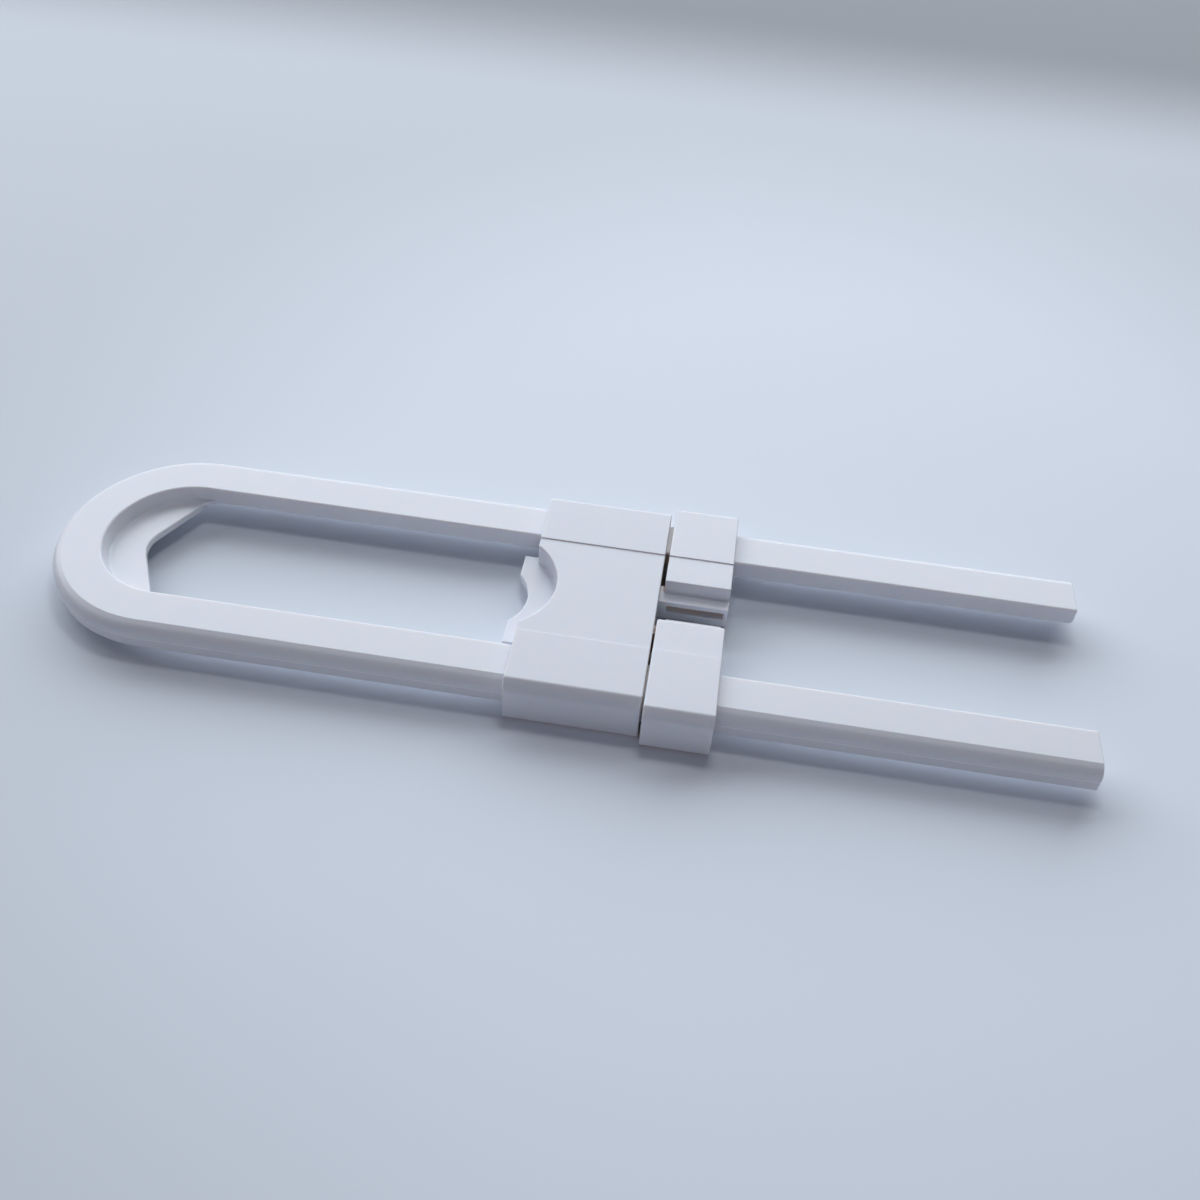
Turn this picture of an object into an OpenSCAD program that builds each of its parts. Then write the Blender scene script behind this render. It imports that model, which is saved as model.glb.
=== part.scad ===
// Sliding cabinet safety lock. A U-shaped bar goes round two door knobs, and a housing ratchets along its
// arms until its two sprung buttons are squeezed.
// +X runs along the arms from the bend to the free ends, +Y to the back arm and +Z up. The origin is in the
// middle of the bar's length and width, on the surface that the lock lies on.

/* [Bar] */
// Length of the bar from the bend to the free ends
bar_length = 192.2; // [160:0.1:240]
// Width over both arms
bar_width = 46.8; // [44:0.1:60]
// Width of one arm
arm_width = 9.05; // [8.5:0.05:9.5]
// Height of an arm on its outer side, down to the skirt's edge
arm_height = 5.6; // [5.5:0.1:7]
// Height of the cap, which is the arm's height on its inner side
cap_height = 4.1; // [3.6:0.1:4.2]
// Thickness of the skirt along the outer side
skirt_thickness = 4.15; // [3.8:0.05:4.5]
// Width of the bevel along the bar's outer top edge
bar_bevel_width = 1.95; // [1:0.05:2.5]
// Height of the bevel along the bar's outer top edge
bar_bevel_drop = 0.9; // [0.6:0.05:1.4]
// Radius between that bevel and the bar's outer side
bar_bevel_radius = 2.2; // [0.8:0.1:2.4]
// Radius of the long inner top edge
bar_inner_radius = 0.4; // [0.2:0.1:0.8]
// Radius under the cap's inner side
bar_under_radius = 1; // [0.4:0.1:1.4]
// Radius of the skirt's lower edge
skirt_edge_radius = 0.9; // [0.2:0.1:1.2]
// Depth of the parting groove along the outer side
seam_depth = 0.15; // [0.1:0.05:0.2]
// Distance of the parting groove below the bar's top
seam_drop = 2.95; // [2.7:0.05:3.6]
// How far the free ends lean outwards from top to bottom
end_lean = 0.2; // [0.1:0.1:1]
// Radius of the cap's lower corner at the free ends
end_radius = 0.9; // [0.3:0.1:1.5]

/* [Web in the bend] */
// Distance of the web's top and the lip's top below the bar's top
web_drop = 3.05; // [2.4:0.05:3.2]
// Thickness of the web
web_thickness = 1.4; // [1:0.1:2]
// How far the bend's inner wall leans in at its foot
web_draft = 0.6; // [0.2:0.1:1]
// Smallest distance from the bend's outer side to the web's free edge
web_reach = 16.25; // [14:0.05:18]
// Radius of the free edge in its middle
web_nose_radius = 6; // [4:0.1:7]
// Slope of the free edge on both sides of its middle, in degrees
web_slope = 27; // [20:1:32]

/* [Rack] */
// Pitch of the saw teeth
tooth_pitch = 2.5; // [2:0.1:3]
// Height of the saw teeth
tooth_height = 1.2; // [0.8:0.1:1.3]
// Width of the flat on a tooth's tip
tooth_land = 0.3; // [0.2:0.1:0.5]
// Length of arm without teeth beside the bend and at the free end
rack_margin = 2.5; // [1:0.5:8]

/* [Housing] */
// Distance from the bend's outer side to the housing
housing_at = 90; // [80:0.5:100]
// Length of the housing along the arms
housing_length = 24; // [23:0.1:30]
// Thickness of the housing's side and end walls
housing_wall = 1.3; // [1.2:0.1:2]
// Thickness of the housing's top wall
housing_top = 1.5; // [1.2:0.1:2]
// Width of the bevel along the long top edges of housing and buttons
edge_bevel_width = 1.6; // [1:0.1:1.8]
// Height of that bevel
edge_bevel_drop = 1.6; // [1:0.1:1.8]
// Radius between that bevel and the side below it
edge_bevel_radius = 1.2; // [0.4:0.1:1.4]
// Radius of the long bottom edges of housing and buttons
bottom_edge_radius = 0.7; // [0.2:0.1:1]
// Width of the sunk centre panel
panel_width = 24.1; // [20:0.1:26]
// Depth of the sunk centre panel
panel_depth = 0.35; // [0.2:0.05:0.6]
// Depth of the thumb scoop
scoop_depth = 5.1; // [4:0.1:5.5]
// Width of the thumb scoop at the housing's end wall
scoop_width = 19.8; // [17:0.1:21]
// How far the lip stands out of the end wall
lip_reach = 2.8; // [2:0.1:4]
// Width of the lip
lip_width = 22.8; // [18:0.1:24]
// Thickness of the lip and of the scoop's floor
lip_thickness = 2; // [1.5:0.1:2.5]
// Depth of the hollow in the lip's edge
lip_hollow_depth = 2.5; // [1:0.1:2.7]
// Width of the hollow in the lip's edge
lip_hollow_width = 12.1; // [8:0.1:14]

/* [Inside the housing] */
// Thickness of the rail that guides each arm
rail_thickness = 1.4; // [1:0.1:1.8]
// Thickness of the rib that stops the slider blocks
stop_thickness = 1.5; // [1:0.1:2]
// Thickness of the centre rib between the springs
rib_thickness = 1.6; // [1.2:0.1:2]
// Space between the scoop's wall and the stop rib
scoop_space = 1; // [0.5:0.1:2]
// Radius of the bosses that hold the base plate's pegs
boss_radius = 1.8; // [1.5:0.1:2]
// How far the two corner bosses run into the rails
boss_bite = 0.4; // [0.2:0.1:0.8]
// Radius of the base plate's pegs
peg_radius = 0.9; // [0.7:0.05:1]
// Length of the base plate's pegs
peg_length = 3.5; // [2:0.1:5]
// Thickness of the base plate
plate_thickness = 1.8; // [1.6:0.1:2.4]

/* [Buttons] */
// Length of a button along the arms
button_length = 12.3; // [11:0.1:16]
// Travel of each button
button_travel = 1.9; // [1.6:0.1:2]
// Thickness of a button's outer wall
button_wall = 1.15; // [1.1:0.05:2]
// Thickness of a button's inner walls
button_inner_wall = 1.5; // [1.2:0.1:1.8]
// Height of the buttons' undersides above the surface that the lock lies on
button_lift = 0.15; // [0.05:0.05:0.3]
// Gap between housing and front button
front_gap = 0.4; // [0.3:0.1:1]
// Gap between housing and back button
back_gap = 0.8; // [0.3:0.1:1.2]
// Distance from the middle plane to the front button's inner end
front_end = 4.6; // [4.4:0.1:5.5]
// Distance from the middle plane to the back button's upper inner end
back_end = 5.3; // [5:0.1:6]
// Distance from the middle plane to the back button's ledge
ledge_end = 2.45; // [2.2:0.05:3]
// Distance of the ledge below the panel
ledge_drop = 2.55; // [2:0.05:3]
// Radius of the corner between the ledge and the wall above it
ledge_radius = 0.6; // [0.2:0.1:1]
// Radius of the front button's inner corners, seen from above
button_corner_radius = 1.1; // [0.3:0.1:1.5]
// Height of the slot in the ledge's end
slot_height = 1.5; // [1.2:0.1:1.8]
// Distance of the slot below the ledge
slot_drop = 1.15; // [1:0.05:1.5]
// Depth of the slot
slot_depth = 3.2; // [2.6:0.1:3.4]
// Distance from the slot to the button's ends
slot_margin = 0.8; // [0.6:0.1:2]
// Distance from the middle plane to the tip of the front button's tongue
tongue_end = 0.5; // [0.3:0.1:1.5]
// Thickness of the buttons' necks
neck_width = 2; // [1.6:0.1:2.4]
// Distance from the middle plane to the inner side of a button's slider block
block_inside = 4.85; // [4.6:0.05:5.2]

/* [Springs] */
// Outer diameter of the coil springs
spring_diameter = 3.2; // [2.8:0.1:3.3]
// Diameter of the spring wire
spring_wire = 0.4; // [0.3:0.05:0.45]
// Turns of each spring
spring_turns = 8; // [5:1:8]
// Depth of the pocket that holds a spring
pocket_depth = 4.5; // [3:0.1:5]
// Length of the spigots that centre the springs
spigot_length = 1.2; // [0.6:0.1:1.6]

/* [Clearances] */
// Clearance between the bar and what it slides in
slide_clearance = 0.25; // [0.2:0.05:0.35]
// Clearance between a button and what it moves in
button_clearance = 0.3; // [0.2:0.05:0.35]
// Clearance round the base plate
plate_clearance = 0.15; // [0.1:0.05:0.2]
// Radial clearance of the pegs in their bosses
peg_clearance = 0.05; // [0.03:0.01:0.1]
// Clearance between the pawls' and the rack's steep faces
mesh_side_clearance = 0.15; // [0.1:0.05:0.2]
// Clearance between the pawls' tips and the rack's roots
mesh_root_clearance = 0.25; // [0.2:0.05:0.3]
// Clearance between a spring and its seats
spring_clearance = 0.1; // [0.05:0.05:0.2]
// Clearance of the tongue in the slot
tongue_clearance = 0.2; // [0.15:0.05:0.25]

/* [Hidden] */
// Segments of a full circle
round_segments = 72;
// How far every cut runs past the face that it opens
overrun = 0.5;
// Strips that make the round edge under a bevel
bevel_strips = 6;
// Colours of the mouldings and of the spring wire
plastic_colour = [0.93, 0.94, 0.95];
wire_colour = [0.62, 0.63, 0.65];

// Places across the bar
half_bar = bar_width / 2;
arm_inside = half_bar - arm_width;
skirt_inside = half_bar - skirt_thickness;
half_cavity = half_bar + slide_clearance;
half_housing = half_cavity + housing_wall;
half_panel = panel_width / 2;
half_rib = rib_thickness / 2;
channel_inside = arm_inside - slide_clearance;
rail_inside = channel_inside - rail_thickness;

// Heights
arm_top = plate_thickness + button_clearance + arm_height;
skirt_bottom = arm_top - arm_height;
cap_bottom = arm_top - cap_height;
web_top = arm_top - web_drop;
lip_top = web_top;
lip_bottom = lip_top - lip_thickness;
channel_top = arm_top + slide_clearance;
housing_height = channel_top + housing_top;
panel_top = housing_height - panel_depth;
ceiling = panel_top - housing_top;
rail_bottom = cap_bottom;

// Places along the bar
bar_start = -bar_length / 2;
bar_end = bar_length / 2;
end_angle = atan(end_lean / arm_height);
bend_x = bar_start + half_bar;
housing_start = bar_start + housing_at;
housing_end = housing_start + housing_length;
cavity_start = housing_start + housing_wall;
cavity_end = housing_end - housing_wall;
stop_start = housing_start + scoop_depth + housing_wall + scoop_space;
bay_start = stop_start + stop_thickness;

// Arcs of the scoop and of the hollow in the lip, from their chord and depth
function arc_radius(chord, depth) = (chord * chord / 4 + depth * depth) / (2 * depth);
scoop_radius = arc_radius(scoop_width, scoop_depth);
scoop_x = housing_start + scoop_depth - scoop_radius;
lip_start = housing_start - lip_reach;
lip_hollow_radius = arc_radius(lip_hollow_width, lip_hollow_depth);
lip_hollow_x = lip_start + lip_hollow_depth - lip_hollow_radius;

// Web: the free edge is a round nose between two straight slopes that meet the bend's inner wall
web_nose_x = bar_start + web_reach + web_nose_radius;
web_foot_radius = arm_inside - web_draft;
web_tangent_x = web_nose_x - web_nose_radius * cos(web_slope);
web_tangent_y = web_nose_radius * sin(web_slope);
web_tip_x = web_tangent_x + (arm_inside - web_tangent_y) * tan(web_slope);
web_wall_angle = asin(max(0, bend_x - web_tip_x) / arm_inside);

// Rack and pawls share one row of teeth, counted from the start of the rack
rack_start = bend_x + rack_margin;
rack_teeth = floor((bar_end - end_lean - rack_margin - rack_start) / tooth_pitch);
tooth_tip = skirt_inside - tooth_height;
block_start = bay_start + button_clearance;
block_end = cavity_end - button_clearance;
pawl_first = ceil((block_start + mesh_side_clearance - rack_start) / tooth_pitch);
pawl_start = rack_start + pawl_first * tooth_pitch - mesh_side_clearance;
pawl_teeth = floor((block_end - pawl_start) / tooth_pitch);

// Buttons
button_outside = half_cavity + button_travel + button_wall;
ring_outside = half_cavity + button_travel;
ring_top = arm_top + button_clearance;
block_outside = rail_inside - button_clearance;
block_bottom = plate_thickness + button_clearance;
block_top = ceiling - button_clearance;
pawl_top = rail_bottom - button_clearance;
ledge_top = panel_top - ledge_drop;
slot_top = ledge_top - slot_drop;
neck_outside = front_end + neck_width;
window_outside = neck_outside + button_clearance;
front_window_inside = front_end - button_travel - button_clearance;
back_window_inside = ledge_end - button_travel - button_clearance;
back_window_top = ledge_top + button_clearance;
slot_start = housing_end + back_gap + slot_margin;
slot_length = button_length - 2 * slot_margin;

// Springs and bosses
spring_radius = (spring_diameter - spring_wire) / 2;
pocket_radius = spring_diameter / 2 + button_clearance;
spigot_radius = spring_radius - spring_wire / 2 - button_clearance;
spring_x = bay_start + button_clearance + pocket_radius + housing_wall;
spring_z = (block_bottom + block_top) / 2;
pocket_outside = block_inside + pocket_depth;
spring_inner = half_rib + spring_clearance + spring_wire / 2;
spring_outer = pocket_outside - spring_clearance - spring_wire / 2;
rib_boss_x = spring_x + spring_diameter / 2 + boss_radius + spring_clearance;
rib_end = rib_boss_x + boss_radius;
corner_boss_x = stop_start - boss_radius - spring_clearance;
corner_boss_y = rail_inside - boss_radius + boss_bite;
boss_places = [[corner_boss_x, -corner_boss_y], [corner_boss_x, corner_boss_y], [rib_boss_x, 0]];

$fn = round_segments;

// Cuts a corner of an outline round. The corner is at the origin, and the outline lies left of it and below.
module corner_cut(radius) {
    difference() {
        translate([-radius, -radius]) square(radius + overrun);
        translate([-radius, -radius]) circle(radius);
    }
}

// Cuts a bevel along an outline's upper outer corner, with a round edge between the bevel and the side
module bevel_cut(width, drop, radius) {
    turn = 90 - atan(drop / width);
    side_end = -drop - radius * tan(turn / 2);
    polygon([
        [overrun, overrun],
        [-width, overrun],
        [-width, 0],
        for (k = [bevel_strips:-1:0])
            let (angle = turn * k / bevel_strips)
                [radius * (cos(angle) - 1), side_end + radius * sin(angle)],
        [overrun, side_end]
    ]);
}

// Extrudes an outline drawn in Y and Z along the bar
module along_bar(start, length) {
    translate([start, 0, 0]) rotate([90, 0, 90]) linear_extrude(length) children();
}

// A block between two corners
module block(low, high) {
    translate(low) cube([high[0] - low[0], high[1] - low[1], high[2] - low[2]]);
}

// Both halves of a piece that is the same on the front side as on the back side
module both_sides() {
    children();
    mirror([0, 1, 0]) children();
}

// Section of an arm: a wide cap with a narrower skirt under its outer side, and a parting groove outside
module arm_section() {
    difference() {
        union() {
            translate([arm_inside, cap_bottom]) square([arm_width, cap_height]);
            translate([skirt_inside, skirt_bottom]) square([skirt_thickness, arm_height]);
        }
        translate([half_bar, arm_top]) bevel_cut(bar_bevel_width, bar_bevel_drop, bar_bevel_radius);
        translate([half_bar, skirt_bottom]) mirror([0, 1]) corner_cut(skirt_edge_radius);
        translate([arm_inside, arm_top]) mirror([1, 0]) corner_cut(bar_inner_radius);
        translate([arm_inside, cap_bottom]) mirror([1, 0]) mirror([0, 1]) corner_cut(bar_under_radius);
        translate([half_bar, arm_top - seam_drop]) rotate(45) square(seam_depth * sqrt(2), center = true);
    }
}

// Cuts one free end so that it leans outwards, and the cap's lower corner there round
module end_cut() {
    translate([bar_end - end_lean, 0, arm_top]) rotate([0, -end_angle, 0]) {
        block([0, arm_inside - overrun, -2 * arm_height], [arm_width, half_bar + overrun, arm_height]);
        translate([0, tooth_tip, -cap_height / cos(end_angle)]) rotate([90, 0, 0])
            linear_extrude(arm_width) mirror([0, 1]) corner_cut(end_radius);
    }
}

// Row of saw teeth on the skirt's inner side, steep towards the bend
module rack() {
    outline = [
        for (k = [0:rack_teeth - 1])
            let (x = rack_start + k * tooth_pitch)
                each [[x, skirt_inside], [x, tooth_tip], [x + tooth_land, tooth_tip]],
        [rack_start + rack_teeth * tooth_pitch, skirt_inside],
        [rack_start + rack_teeth * tooth_pitch, skirt_inside + overrun],
        [rack_start, skirt_inside + overrun]
    ];
    translate([0, 0, skirt_bottom]) linear_extrude(cap_bottom - skirt_bottom + overrun) polygon(outline);
}

// One straight arm
module arm() {
    difference() {
        union() {
            along_bar(bend_x, bar_end - bend_x) arm_section();
            rack();
        }
        end_cut();
    }
}

// Outline of what stays open beyond the web's free edge
module web_opening() {
    far_x = bend_x + overrun;
    far_y = web_tangent_y + (far_x - web_tangent_x) / tan(web_slope);
    translate([web_nose_x, 0]) circle(web_nose_radius);
    polygon([
        [web_tangent_x, -web_tangent_y],
        [web_tangent_x, web_tangent_y],
        [far_x, far_y],
        [far_x, -far_y]
    ]);
}

// Thin plate that fills the bend
module web() {
    difference() {
        translate([0, 0, web_top - web_thickness]) intersection() {
            translate([bend_x, 0, 0]) cylinder(web_thickness, r = arm_inside + overrun);
            block([bar_start, -half_bar, 0], [bend_x, half_bar, web_thickness]);
        }
        translate([0, 0, web_top - web_thickness - overrun])
            linear_extrude(web_thickness + 2 * overrun) web_opening();
    }
}

// Inner wall of the bend, which leans in towards the web
module web_wall() {
    translate([bend_x, 0, 0]) rotate(90 + web_wall_angle) rotate_extrude(angle = 180 - 2 * web_wall_angle)
        polygon([
            [arm_inside + overrun, web_top - overrun],
            [web_foot_radius, web_top - overrun],
            [web_foot_radius, web_top],
            [arm_inside, arm_top - bar_inner_radius],
            [arm_inside + overrun, arm_top - bar_inner_radius]
        ]);
}

module shackle() {
    color(plastic_colour) union() {
        translate([bend_x, 0, 0]) rotate(90) rotate_extrude(angle = 180) arm_section();
        both_sides() arm();
        web();
        web_wall();
    }
}

// Outline across the housing
module housing_section() {
    difference() {
        translate([-half_housing, 0]) square([2 * half_housing, housing_height]);
        for (side = [0, 1]) mirror([side, 0]) {
            translate([half_housing, housing_height])
                bevel_cut(edge_bevel_width, edge_bevel_drop, edge_bevel_radius);
            translate([half_housing, 0]) mirror([0, 1]) corner_cut(bottom_edge_radius);
        }
        translate([-half_panel, panel_top]) square([panel_width, panel_depth + overrun]);
    }
}

// Lip plate that stands out of the end wall under the scoop
module lip() {
    difference() {
        block([lip_start, -lip_width / 2, lip_bottom], [cavity_start, lip_width / 2, lip_top]);
        translate([lip_hollow_x, 0, lip_bottom - overrun])
            cylinder(lip_thickness + 2 * overrun, r = lip_hollow_radius);
    }
}

// Room for the arms and for the base plate
module channels() {
    both_sides() block(
        [housing_start - overrun, channel_inside, plate_thickness],
        [housing_end + overrun, half_cavity, channel_top]
    );
    block([cavity_start, -half_cavity, -overrun], [cavity_end, half_cavity, plate_thickness]);
}

// Room for one slider block, its pawl and its neck, on the back side
module bay(window_inside, window_top) {
    difference() {
        block([bay_start, half_rib, plate_thickness - overrun], [cavity_end, rail_inside, ceiling]);
        translate([rib_boss_x, 0, 0]) cylinder(ceiling, r = boss_radius);
    }
    block([bay_start, rail_inside - overrun, plate_thickness - overrun],
        [cavity_end, channel_inside + overrun, rail_bottom]);
    block([rib_end, -overrun, plate_thickness - overrun], [cavity_end, half_rib + overrun, ceiling]);
    block(
        [cavity_end - overrun, window_inside, -overrun],
        [housing_end + overrun, window_outside, window_top]
    );
}

// Hollow between the scoop and the stop rib, around the corner bosses
module front_pocket() {
    difference() {
        block([cavity_start, -rail_inside, plate_thickness - overrun], [stop_start, rail_inside, ceiling]);
        translate([scoop_x, 0, lip_bottom]) cylinder(housing_height, r = scoop_radius + housing_wall);
        for (place = boss_places)
            translate([place[0], place[1], 0]) cylinder(housing_height, r = boss_radius);
    }
}

// Spigot that centres the spring on the centre rib's back side
module spigot() {
    translate([spring_x, 0, spring_z]) rotate([-90, 0, 0])
        cylinder(half_rib + spigot_length, r = spigot_radius);
}

module housing() {
    color(plastic_colour) {
        difference() {
            union() {
                along_bar(housing_start, housing_length) housing_section();
                lip();
            }
            translate([scoop_x, 0, lip_top]) cylinder(housing_height, r = scoop_radius);
            channels();
            bay(back_window_inside, back_window_top);
            mirror([0, 1, 0]) bay(front_window_inside, ceiling);
            front_pocket();
            for (place = boss_places) translate([place[0], place[1], plate_thickness - overrun])
                cylinder(peg_length + overrun + spring_clearance, r = peg_radius + peg_clearance);
        }
        both_sides() spigot();
    }
}

// Tab of the base plate that closes a window from below
module plate_tab(window_inside) {
    block(
        [cavity_end - plate_clearance - overrun, window_inside + plate_clearance, 0],
        [housing_end, window_outside - plate_clearance, plate_thickness]
    );
}

module base_plate() {
    color(plastic_colour) union() {
        block(
            [cavity_start + plate_clearance, plate_clearance - half_cavity, 0],
            [cavity_end - plate_clearance, half_cavity - plate_clearance, plate_thickness]
        );
        plate_tab(back_window_inside);
        mirror([0, 1, 0]) plate_tab(front_window_inside);
        for (place = boss_places) translate([place[0], place[1], plate_thickness / 2])
            cylinder(plate_thickness / 2 + peg_length, r = peg_radius);
    }
}

// Outline across a button on the back side, from its inner end outwards
module button_section(inner_end) {
    difference() {
        translate([inner_end, button_lift])
            square([button_outside - inner_end, housing_height - button_lift]);
        translate([button_outside, housing_height])
            bevel_cut(edge_bevel_width, edge_bevel_drop, edge_bevel_radius);
        translate([button_outside, button_lift]) mirror([0, 1]) corner_cut(bottom_edge_radius);
        translate([inner_end - overrun, panel_top])
            square([half_panel - inner_end + overrun, panel_depth + overrun]);
    }
}

// Rounds the front button's inner corners, seen from above
module button_corners(start) {
    translate([start + button_length, front_end]) mirror([0, 1]) corner_cut(button_corner_radius);
    translate([start, front_end]) mirror([1, 0]) mirror([0, 1]) corner_cut(button_corner_radius);
}

// Ring round the arm, cored out from below between the arm and the inner end
module button_ring(start, inner_end) {
    difference() {
        along_bar(start, button_length) button_section(inner_end);
        block([start - overrun, channel_inside, plate_thickness],
            [start + button_length + overrun, ring_outside, ring_top]);
        block([start + button_inner_wall, inner_end + button_inner_wall, 0],
            [start + button_length - button_inner_wall, channel_inside - button_inner_wall, ceiling]);
    }
}

// Slider block inside the housing
module slider_block() {
    block([block_start, block_inside, block_bottom], [block_end, block_outside, block_top]);
}

// Pocket that holds the spring, and the spring's way to it
module spring_pocket() {
    translate([spring_x, half_rib, spring_z]) rotate([-90, 0, 0])
        cylinder(pocket_outside - half_rib, r = pocket_radius);
}

// Pawl that reaches under the arm's cap, with teeth that mesh with the rack
module pawl() {
    root = tooth_tip - mesh_root_clearance;
    tip = skirt_inside - mesh_root_clearance;
    outline = [
        for (k = [0:pawl_teeth - 1])
            let (x = pawl_start + k * tooth_pitch)
                each [[x, root], [x + tooth_land, root], [x + tooth_pitch, tip]],
        [pawl_start + pawl_teeth * tooth_pitch, block_outside - overrun],
        [pawl_start, block_outside - overrun]
    ];
    translate([0, 0, block_bottom]) linear_extrude(pawl_top - block_bottom) polygon(outline);
}

// Neck between the slider block and the ring
module neck(start, inner_end, top) {
    block([block_end - neck_width, inner_end, block_bottom], [start + button_inner_wall, neck_outside, top]);
}

module front_button() {
    start = housing_end + front_gap;
    color(plastic_colour) mirror([0, 1, 0]) difference() {
        union() {
            difference() {
                button_ring(start, front_end);
                linear_extrude(housing_height + overrun) button_corners(start);
            }
            slider_block();
            pawl();
            neck(start, front_end, block_top);
            block(
                [slot_start + tongue_clearance, tongue_end, slot_top - slot_height + tongue_clearance],
                [
                    slot_start + slot_length - tongue_clearance,
                    front_end + button_inner_wall,
                    slot_top - tongue_clearance
                ]
            );
        }
        spring_pocket();
    }
}

// Outline of the hollow corner between the ledge and the wall above it
module ledge_corner() {
    difference() {
        translate([back_end - ledge_radius, ledge_top - overrun]) square(ledge_radius + overrun);
        translate([back_end - ledge_radius, ledge_top + ledge_radius]) circle(ledge_radius);
    }
}

module back_button() {
    start = housing_end + back_gap;
    color(plastic_colour) difference() {
        union() {
            button_ring(start, back_end);
            slider_block();
            pawl();
            neck(start, ledge_end, ledge_top);
            block([start, ledge_end, block_bottom],
                [start + button_length, back_end + button_inner_wall, ledge_top]);
            along_bar(start, button_length) ledge_corner();
        }
        block([slot_start, ledge_end - overrun, slot_top - slot_height],
            [slot_start + slot_length, ledge_end + slot_depth, slot_top]);
        spring_pocket();
    }
}

// Coil spring along Y on the back side: one unbroken tube that follows a helix
coil_rings = 12;
coil_sides = 8;
coil_steps = spring_turns * coil_rings;
coil_pitch = (spring_outer - spring_inner) / spring_turns;
function coil_point(step) = let (angle = 360 * step / coil_rings) [
    spring_x + spring_radius * cos(angle),
    spring_inner + coil_pitch * step / coil_rings,
    spring_z + spring_radius * sin(angle)
];
function coil_ring(step) = let (angle = 360 * step / coil_rings) [
    for (k = [0:coil_sides - 1])
        let (
            turn = 360 * k / coil_sides,
            out = cos(turn) * spring_wire / 2,
            rise = sin(turn) * spring_wire / 2
        )
            coil_point(step) + [out * cos(angle), rise, out * sin(angle)]
];
// Least gap of the wire to itself, measured between points that lie half a turn or more apart
coil_least_gap = min([
    for (a = [0:coil_steps], b = [a + coil_rings / 2:coil_steps]) norm(coil_point(a) - coil_point(b))
]) - spring_wire;
echo(coil_least_gap = coil_least_gap);

module back_spring() {
    points = [for (step = [0:coil_steps]) each coil_ring(step)];
    sides = [
        for (step = [0:coil_steps - 1], k = [0:coil_sides - 1])
            let (
                a = step * coil_sides + k,
                b = step * coil_sides + (k + 1) % coil_sides
            )
                each [[a, b, b + coil_sides], [a, b + coil_sides, a + coil_sides]]
    ];
    first = [for (k = [1:coil_sides - 2]) [0, k + 1, k]];
    last_start = coil_steps * coil_sides;
    last = [for (k = [1:coil_sides - 2]) [last_start, last_start + k, last_start + k + 1]];
    color(wire_colour) polyhedron(points, concat(sides, first, last));
}

module front_spring() {
    mirror([0, 1, 0]) back_spring();
}

shackle();
housing();
base_plate();
front_button();
back_button();
front_spring();
back_spring();
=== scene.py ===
"""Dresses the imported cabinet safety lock: white satin mouldings, two springs, a pale floor and soft light.

Sizes are in millimetres, as in the part's source, and become metres where a mesh is made. +X runs along the
arms from the bend to the free ends, +Y to the back arm and +Z up. Sizes in the finishes are in metres.
"""
import logging
import math
from collections.abc import Callable, Sequence
from dataclasses import dataclass, field
from enum import Enum

import bmesh
import bpy
from mathutils import Euler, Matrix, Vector
from mathutils.bvhtree import BVHTree


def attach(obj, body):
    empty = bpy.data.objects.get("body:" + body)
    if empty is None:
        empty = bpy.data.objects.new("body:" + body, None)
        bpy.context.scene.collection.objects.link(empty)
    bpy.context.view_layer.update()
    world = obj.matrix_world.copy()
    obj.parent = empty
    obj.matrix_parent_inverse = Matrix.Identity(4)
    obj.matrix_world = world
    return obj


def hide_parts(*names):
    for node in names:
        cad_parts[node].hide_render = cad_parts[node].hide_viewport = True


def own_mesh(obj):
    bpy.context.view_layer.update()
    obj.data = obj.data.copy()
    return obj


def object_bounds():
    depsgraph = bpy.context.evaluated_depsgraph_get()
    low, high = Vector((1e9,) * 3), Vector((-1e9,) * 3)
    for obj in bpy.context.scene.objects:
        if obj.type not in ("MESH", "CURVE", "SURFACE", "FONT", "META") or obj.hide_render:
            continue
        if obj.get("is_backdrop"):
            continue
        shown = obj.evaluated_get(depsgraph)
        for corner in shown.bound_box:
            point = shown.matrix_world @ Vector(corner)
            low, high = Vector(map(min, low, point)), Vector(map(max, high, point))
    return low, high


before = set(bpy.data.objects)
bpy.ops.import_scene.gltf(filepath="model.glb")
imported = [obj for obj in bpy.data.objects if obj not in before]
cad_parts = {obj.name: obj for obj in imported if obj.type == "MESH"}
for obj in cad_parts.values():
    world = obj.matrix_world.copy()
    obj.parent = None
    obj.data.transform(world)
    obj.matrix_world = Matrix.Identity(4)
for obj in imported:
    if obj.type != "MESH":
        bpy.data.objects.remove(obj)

MM = 0.001
log = logging.getLogger("lock")

Point = tuple[float, float]
Colour = tuple[float, float, float]
Socket = bpy.types.NodeSocket


class Side(Enum):
    """The two arms of the bar, by the sign of their Y."""

    FRONT = -1
    BACK = 1


class Axis(Enum):
    """A direction of the part's frame."""

    X = (1.0, 0.0, 0.0)
    Y = (0.0, 1.0, 0.0)
    Z = (0.0, 0.0, 1.0)


class EdgeKind(Enum):
    """How round the tool left an edge."""

    SHARP = 0.0
    FINE = 0.4
    FULL = 1.0


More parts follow.
